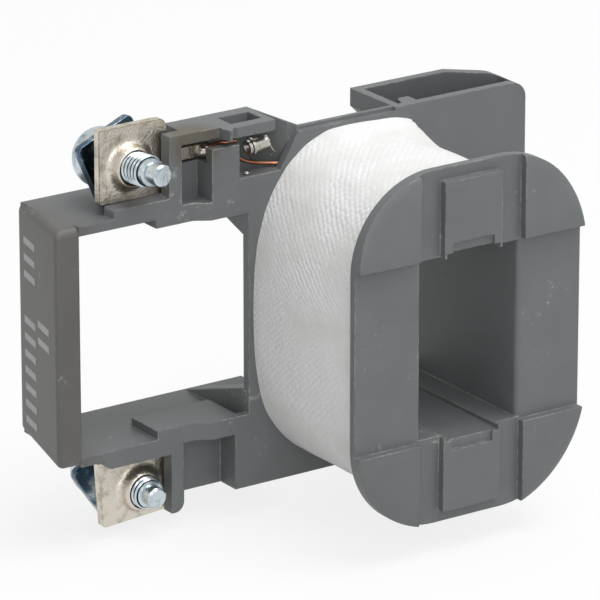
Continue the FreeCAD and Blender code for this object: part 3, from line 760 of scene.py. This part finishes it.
class COIL_OT_leads(bpy.types.Operator):
    """Lays the two bare copper leads from the winding to the solder tails"""
    bl_idname = "coil.leads"
    bl_label = "Leads"

    def execute(self, context):
        c = colours()
        copper = plated("bare_copper", c.copper, c.enamel, 1.2, 0.3, 0.2)
        start = [point(-10.05, 25.05, 18.7), point(-11.6, 26.6, 18.7),
                 point(-13.72, 27.13, 18.88), point(-16.24, 27.7, 19.48),
                 point(-17.34, 27.7, 20.68), point(-18.14, 25.9, 23.23),
                 point(-20.0, 25.5, 23.23), point(-20.65, 26.2, 23.23),
                 point(-21.4, 28.07, 22.3)]
        finish = [point(-10.05, 25.05, -18.7), point(-11.6, 26.6, -18.7),
                  point(-14.2, 27.98, -19.2), point(-17.0, 30.38, -20.2),
                  point(-20.0, 31.28, -21.7), point(-23.25, 31.28, -21.7)]
        for name, places in (("start_lead", start), ("finish_lead", finish)):
            mesh = wire_mesh(name + "_wire", places, sizes().wire_radius)
            new_piece(name + "_wire", mesh, copper, replaces=(name,), slot="lead_copper")
        return {"FINISHED"}


def solder_lump(name, node, seed):
    """A lumpy drop that fills its CAD drop's box."""
    low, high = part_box(node)
    centre, reach = (low + high) / 2, (high - low) / 2
    work = bmesh.new()
    bmesh.ops.create_icosphere(work, subdivisions=4, radius=1)
    for vert in work.verts:
        lump = 0.86 + 0.14 * noise.noise(vert.co * 2.1 + Vector((seed, 0, 0)))
        vert.co = Vector(centre[i] + vert.co[i] * reach[i] * lump for i in range(3))
    mesh = bpy.data.meshes.new(name)
    work.to_mesh(mesh)
    work.free()
    mesh.shade_smooth()
    return mesh


class COIL_OT_solder(bpy.types.Operator):
    """Melts the solder joints and the stray bead into lumpy drops"""
    bl_idname = "coil.solder"
    bl_label = "Solder"

    def execute(self, context):
        c = colours()
        tin = plated("soft_solder", c.tin, c.nickel_stain, 1.0, 0.3, 0.8)
        for seed, node in enumerate(("upper_solder_joint", "lower_solder_joint",
                                     "solder_bead")):
            mesh = solder_lump(node + "_drop", node, seed * 3.7)
            new_piece(node + "_drop", mesh, tin, replaces=(node,), slot="tin")
        return {"FINISHED"}


class COIL_OT_splice(bpy.types.Operator):
    """Crimps the tinned ferrule and its clipped wire in the lead pocket"""
    bl_idname = "coil.splice"
    bl_label = "Lead splice"

    def execute(self, context):
        c = colours()
        tin = plated("tinned_ferrule", c.tin, c.nickel_stain, 0.8, 0.24, 0.6)
        # The ferrule's profile from its open mouth, with a ring near it, to its far end.
        radius, reach = 1.0 * MM, 3.1 * MM
        profile = [(0.2 * MM, 0.5 * MM), (radius * 0.62, 0), (radius * 0.97, 0.03 * MM),
                   (radius, 0.4 * MM), (radius * 1.2, 0.5 * MM), (radius * 1.2, 0.8 * MM),
                   (radius, 0.92 * MM), (radius * 0.98, 1.9 * MM), (radius, 2.6 * MM),
                   (radius * 0.96, reach - 0.1 * MM), (radius * 0.7, reach)]
        mesh = turned("lead_splice_crimped", profile, sides=40)
        for vert in mesh.vertices:
            dent = noise.noise(vert.co / (0.5 * MM))
            vert.co += Vector((vert.co.x, 0, vert.co.z)) * 0.05 * dent
            if vert.co.y > reach - 0.6 * MM:
                vert.co.y += 0.25 * MM * dent
        along = Matrix.Rotation(math.radians(-6), 4, "Y") @ Matrix.Rotation(
            math.radians(-90), 4, "Z")
        mesh.transform(along)
        mesh.transform(Matrix.Translation(point(-16.4, 26.5, 21.6)))
        new_piece("lead_splice_crimped", mesh, tin, replaces=("lead_splice",), slot="tin")
        low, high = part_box("splice_tail")
        middle, tail_radius = (low + high) / 2, 0.18 * MM
        tail = [Vector((low.x + 0.2 * MM, middle.y, high.z - 0.25 * MM)),
                Vector((middle.x, middle.y, low.z + 0.5 * MM)),
                Vector((high.x - 0.2 * MM, middle.y, low.z + 0.25 * MM))]
        mesh = wire_mesh("splice_tail_wire", tail, tail_radius)
        new_piece("splice_tail_wire", mesh, tin, replaces=("splice_tail",), slot="tin")
        return {"FINISHED"}


def bar_tree(material):
    """Geometry nodes that set a row of printed bars along +X."""
    tree = bpy.data.node_groups.new("printed_bars", "GeometryNodeTree")
    face = tree.interface
    face.new_socket("Geometry", in_out="INPUT", socket_type="NodeSocketGeometry")
    ids = {}
    for name, kind, value in (("Count", "NodeSocketInt", 3),
                              ("Pitch", "NodeSocketFloat", sizes().bar_pitch),
                              ("Bar Length", "NodeSocketFloat", sizes().bar_length),
                              ("Bar Width", "NodeSocketFloat", sizes().bar_width)):
        socket = face.new_socket(name, in_out="INPUT", socket_type=kind)
        socket.default_value = value
        ids[name] = socket.identifier
    face.new_socket("Geometry", in_out="OUTPUT", socket_type="NodeSocketGeometry")
    given = add(tree, "NodeGroupInput").outputs
    step = add(tree, "ShaderNodeCombineXYZ", {"X": given["Pitch"]})
    line = add(tree, "GeometryNodeMeshLine", {"Count": given["Count"],
                                              "Offset": step.outputs[0]}, mode="OFFSET")
    bar = add(tree, "GeometryNodeMeshGrid", {
        "Size X": given["Bar Width"], "Size Y": given["Bar Length"], "Vertices X": 2,
        "Vertices Y": 2})
    row = add(tree, "GeometryNodeInstanceOnPoints", {"Points": line.outputs[0],
                                                     "Instance": bar.outputs[0]})
    solid = add(tree, "GeometryNodeRealizeInstances", {"Geometry": row.outputs[0]})
    dressed = add(tree, "GeometryNodeSetMaterial", {"Geometry": solid.outputs[0],
                                                    "Material": material})
    add(tree, "NodeGroupOutput", {"Geometry": dressed.outputs[0]})
    return tree, ids


class COIL_OT_marks(bpy.types.Operator):
    """Prints plain pale bars on the frame's end, where the real coil carries its rating"""
    bl_idname = "coil.marks"
    bl_label = "Printed bars"

    def execute(self, context):
        ink = printed_ink()
        tree, ids = bar_tree(ink)
        # The outer face of the frame's end, from its front edge to its back edge.
        front, back = point(-45.3, 26.0, 0), point(-42.1, 39.8, 0)
        across = (back - front).normalized()
        outward = Vector((-across.y, across.x, 0))
        lift = 0.02 * MM
        meshes = []
        # Each row: its number of bars, the height of the first one, and its place across.
        for count, top, from_back in ((3, 11.2, 3.8), (7, 0.6, 3.8), (2, 1.6, 9.0)):
            source = bpy.data.objects.new("bar_source", bpy.data.meshes.new("bar_source"))
            context.scene.collection.objects.link(source)
            modifier = source.modifiers.new("bars", "NODES")
            modifier.node_group = tree
            modifier[ids["Count"]] = count
            mesh = evaluated("bars", source)
            place = back - across * from_back * MM + outward * lift + Vector((0, 0, top * MM))
            turn = Matrix((Vector((0, 0, -1)), across, outward)).transposed().to_4x4()
            mesh.transform(Matrix.Translation(place) @ turn)
            meshes.append(mesh)
        mesh = join("printed_bars", meshes)
        new_piece("printed_bars", mesh, ink, slot="grey_moulding")
        return {"FINISHED"}


def set_camera(scene):
    """The camera, fitted to the photograph's edges."""
    turn, rise, away = math.radians(-34.318), math.radians(19.189), 0.707894
    target = point(-25.71, 0, 14.613)
    back = Vector((math.sin(turn) * math.cos(rise), -math.cos(turn) * math.cos(rise),
                   math.sin(rise)))
    data = bpy.data.cameras.new("photo_camera")
    data.sensor_width = 36
    data.lens = 347.3
    data.shift_x = -0.0066
    data.shift_y = -0.0489
    data.clip_start, data.clip_end = 0.01, 20
    camera = bpy.data.objects.new("photo_camera", data)
    scene.collection.objects.link(camera)
    camera.location = target + back * away
    camera.rotation_mode = "QUATERNION"
    camera.rotation_quaternion = (-back).to_track_quat("-Z", "Y")
    scene.camera = camera


def seen_directly(tree):
    """One on a ray from the camera, a reflection or a clear piece; nought on others."""
    path = add(tree, "ShaderNodeLightPath")
    seen = add(tree, "ShaderNodeMath", {0: path.outputs["Is Camera Ray"],
                                        1: path.outputs["Is Glossy Ray"]},
               operation="MAXIMUM")
    return add(tree, "ShaderNodeMath", {0: seen.outputs[0],
                                        1: path.outputs["Is Transmission Ray"]},
               operation="MAXIMUM").outputs[0]


def lay_floor(scene, height):
    """The floor: white to the eye, while the coil's shadow still dims it."""
    material, tree = new_material("studio_floor")
    share = add(tree, "ShaderNodeMath", {0: seen_directly(tree), 1: 0.72},
                operation="MULTIPLY")
    dull = add(tree, "ShaderNodeBsdfDiffuse", {"Color": colours().floor})
    glow = add(tree, "ShaderNodeEmission", {"Color": (1, 1, 1, 1), "Strength": 1.12})
    mix = add(tree, "ShaderNodeMixShader", {0: share.outputs[0], 1: dull.outputs[0],
                                            2: glow.outputs[0]})
    finish_material(tree, mix)
    work = bmesh.new()
    bmesh.ops.create_grid(work, x_segments=1, y_segments=1, size=4)
    mesh = bpy.data.meshes.new("studio_floor")
    work.to_mesh(mesh)
    work.free()
    mesh.transform(Matrix.Translation((0, 0, height)))
    mesh.materials.append(material)
    floor = bpy.data.objects.new("studio_floor", mesh)
    scene.collection.objects.link(floor)


def set_world(scene):
    """The world: white to the eye and in reflections, softer as a lamp."""
    world = bpy.data.worlds.new("studio_world")
    world.use_nodes = True
    scene.world = world
    tree = world.node_tree
    tree.nodes.clear()
    lamp = add(tree, "ShaderNodeBackground", {"Strength": 0.52})
    white = add(tree, "ShaderNodeBackground", {"Strength": 1.0})
    mix = add(tree, "ShaderNodeMixShader", {0: seen_directly(tree), 1: lamp.outputs[0],
                                            2: white.outputs[0]})
    add(tree, "ShaderNodeOutputWorld", {"Surface": mix.outputs[0]})


def hang_lamps(scene, centre):
    """Two lamps: a broad one overhead and a weak one beside the camera."""
    for name, offset, width, power in (
            ("overhead_softbox", Vector((0.15, -0.2, 0.87)), 0.7, 5.8),
            ("front_softbox", Vector((-0.35, -0.8, 0.4)), 0.6, 2.2)):
        light = bpy.data.lights.new(name, "AREA")
        light.shape = "SQUARE"
        light.size = width
        light.energy = power
        lamp = bpy.data.objects.new(name, light)
        scene.collection.objects.link(lamp)
        lamp.location = centre + offset
        lamp.rotation_mode = "QUATERNION"
        lamp.rotation_quaternion = (-offset).to_track_quat("-Z", "Y")


class COIL_OT_stage(bpy.types.Operator):
    """Sets the pale floor, the soft studio light and the camera at the photograph's angle"""
    bl_idname = "coil.stage"
    bl_label = "Stage"

    def execute(self, context):
        scene = context.scene
        scene.view_settings.view_transform = "Standard"
        low, high = cad_box
        set_camera(scene)
        lay_floor(scene, low.z)
        set_world(scene)
        hang_lamps(scene, (low + high) / 2)
        return {"FINISHED"}


class COIL_PT_panel(bpy.types.Panel):
    """Lists the coil's pieces in the sidebar"""
    bl_idname = "COIL_PT_panel"
    bl_label = "Contactor coil"
    bl_space_type = "VIEW_3D"
    bl_region_type = "UI"
    bl_category = "Coil"

    def draw(self, context):
        for operator in OPERATORS:
            self.layout.operator(operator.bl_idname)
        for group in (context.scene.coil_sizes, context.scene.coil_colours):
            for name in group.bl_rna.properties.keys():
                if name not in ("rna_type", "name"):
                    self.layout.prop(group, name)


OPERATORS = (COIL_OT_moulding, COIL_OT_winding, COIL_OT_tape, COIL_OT_plates, COIL_OT_screws,
             COIL_OT_leads, COIL_OT_solder, COIL_OT_splice, COIL_OT_marks, COIL_OT_stage)
CLASSES = (CoilColours, CoilSizes) + OPERATORS + (COIL_PT_panel,)


def register():
    for cls in CLASSES:
        bpy.utils.register_class(cls)
    bpy.types.Scene.coil_colours = PointerProperty(type=CoilColours)
    bpy.types.Scene.coil_sizes = PointerProperty(type=CoilSizes)


def unregister():
    del bpy.types.Scene.coil_sizes
    del bpy.types.Scene.coil_colours
    for cls in reversed(CLASSES):
        bpy.utils.unregister_class(cls)


def main():
    register()
    bpy.ops.coil.moulding()
    bpy.ops.coil.winding()
    bpy.ops.coil.tape()
    bpy.ops.coil.plates()
    bpy.ops.coil.screws()
    bpy.ops.coil.leads()
    bpy.ops.coil.solder()
    bpy.ops.coil.splice()
    bpy.ops.coil.marks()
    bpy.ops.coil.stage()


if __name__ == "__main__":
    main()
